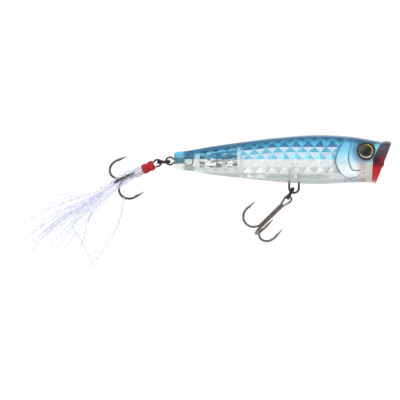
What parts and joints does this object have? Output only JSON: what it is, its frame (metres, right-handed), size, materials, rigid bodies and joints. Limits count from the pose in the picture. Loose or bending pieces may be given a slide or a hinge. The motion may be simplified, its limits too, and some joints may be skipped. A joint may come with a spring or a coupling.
{
  "type": "topwater popper",
  "caption": "Slim clear-bodied popping lure with a slanted red cupped mouth, prism flanks, split rings, a belly treble and a tinsel-dressed rear treble.",
  "frame": {"origin": "centre of the line-tie eye in the mouth, on the lure's middle plane", "axes": "+X forwards out of the mouth along the hull, +Y to the lure's left, +Z towards its back"},
  "size_m": [0.1558, 0.0203, 0.0641],
  "materials": {
    "clear_blue_plastic": "clear, blue over the back, polished",
    "prism_foil": "faceted silver-blue reflector",
    "red_plastic": "glossy crimson, smoked purple above",
    "dark_steel": "black-nickel plated wire",
    "ball_steel": "polished",
    "iris_foil": "gold foil with a black pupil",
    "clear_dome": "clear resin",
    "red_thread": "lacquered thread",
    "tinsel": "pearl film, blue, lilac and pink by turns"
  },
  "bodies": {
    "hull": {"body_shell_left": "clear_blue_plastic", "body_shell_right": "clear_blue_plastic", "prism_insert_left": "prism_foil", "prism_insert_right": "prism_foil", "mouth_cup": "red_plastic", "eye_disc_left": "iris_foil", "eye_disc_right": "iris_foil", "eye_dome_left": "clear_dome", "eye_dome_right": "clear_dome", "line_tie_wire": "dark_steel", "tail_hanger_wire": "dark_steel", "belly_hanger_wire": "dark_steel"},
    "rattle_balls": {"rattle_ball_1": "ball_steel", "rattle_ball_2": "ball_steel", "rattle_ball_3": "ball_steel"},
    "belly_ring": {"belly_split_ring": "dark_steel"},
    "belly_hook": {"belly_treble": "dark_steel"},
    "tail_ring": {"tail_split_ring": "dark_steel"},
    "tail_hook": {"tail_treble": "dark_steel", "thread_wrap": "red_thread", "tinsel_collar": "tinsel", "tinsel_lock_1": "tinsel", "tinsel_lock_2": "tinsel", "tinsel_lock_3": "tinsel", "tinsel_lock_4": "tinsel", "tinsel_lock_5": "tinsel", "tinsel_lock_6": "tinsel", "tinsel_lock_7": "tinsel"}
  },
  "joints": [
    {"name": "belly_ring_swing", "type": "hinge", "parent": "hull", "child": "belly_ring", "pos_m": [-0.0367, 0, -0.01174], "axis": [-0.9272, 0, 0.3746], "range_deg": [-50, 50]},
    {"name": "belly_hook_pitch", "type": "hinge", "parent": "belly_ring", "child": "belly_hook", "pos_m": [-0.03795, 0, -0.01482], "axis": [0, 1, 0], "range_deg": [-115, 20]},
    {"name": "tail_ring_swing", "type": "hinge", "parent": "hull", "child": "tail_ring", "pos_m": [-0.08846, 0, 0.00079], "axis": [-0.1564, 0, 0.9877], "range_deg": [-70, 70]},
    {"name": "tail_hook_pitch", "type": "hinge", "parent": "tail_ring", "child": "tail_hook", "pos_m": [-0.09204, 0, 0.00023], "axis": [0, 1, 0], "range_deg": [-75, 95]},
    {"name": "rattle_slide", "type": "slide", "parent": "hull", "child": "rattle_balls", "axis": [1, 0, 0], "range_m": [-0.00025, 0.00105]}
  ]
}
